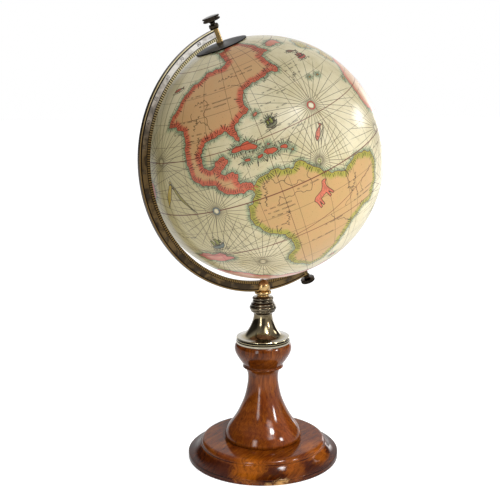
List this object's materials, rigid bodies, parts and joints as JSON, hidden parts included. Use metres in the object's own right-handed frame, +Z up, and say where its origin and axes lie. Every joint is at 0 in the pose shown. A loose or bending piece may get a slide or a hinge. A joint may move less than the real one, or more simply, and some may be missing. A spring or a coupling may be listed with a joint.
{
  "type": "desktop globe on stand",
  "caption": "Antique-style desktop globe on a turned wooden pedestal, with a graduated half meridian, tilted spin axis, knurled pole knobs and an hour dial.",
  "frame": {"origin": "centre of the flat rest face under the base", "axes": "+Z up along the stand; the meridian arc lies in the XZ plane with its bulge and the north pole towards -X; -Y is the front"},
  "size_m": [0.3186, 0.3, 0.5622],
  "materials": {
    "varnished_wood": "high-gloss varnish over figured red-brown wood",
    "felt": "felt",
    "steel": "zinc plated",
    "antique_brass": "polished, antique dark nickel-bronze tone",
    "bronzed_brass": "bronzed satin face with bright edges",
    "dark_brass": "dark antique, polished",
    "bright_brass": "polished",
    "spun_dial": "spun, dark, circular brushing",
    "core_board": "laminated board",
    "printed_map": "printed antique-style map under gloss varnish"
  },
  "bodies": {
    "stand": {"base_plinth": "varnished_wood", "base_felt": "felt", "column": "varnished_wood", "tie_rod": "steel", "tie_rod_washer": "steel", "tie_rod_nut": "steel", "trumpet_cap": "antique_brass", "bead_lower": "antique_brass", "bead_upper": "antique_brass", "collar_disc": "antique_brass", "clamp_body": "antique_brass", "clamp_grub": "steel", "meridian_arc": "bronzed_brass", "north_sleeve": "bright_brass", "south_sleeve": "bright_brass", "north_pin": "steel", "south_pin": "steel", "north_neck_ring": "dark_brass", "south_neck_ring": "dark_brass", "north_knob": "dark_brass", "south_knob": "dark_brass"},
    "globe": {"north_half_shell": "core_board", "south_half_shell": "core_board", "north_map_skin": "printed_map", "south_map_skin": "printed_map", "seam_ring": "core_board", "north_bushing": "bright_brass", "south_bushing": "bright_brass"},
    "dial": {"hour_dial": "spun_dial"}
  },
  "joints": [
    {"name": "globe_spin", "type": "hinge", "parent": "stand", "child": "globe", "pos_m": [0, 0, 0.3903], "axis": [-0.3987, 0, 0.9171], "continuous": true},
    {"name": "dial_turn", "type": "hinge", "parent": "stand", "child": "dial", "pos_m": [0, 0, 0.3903], "axis": [-0.3987, 0, 0.9171], "continuous": true}
  ]
}
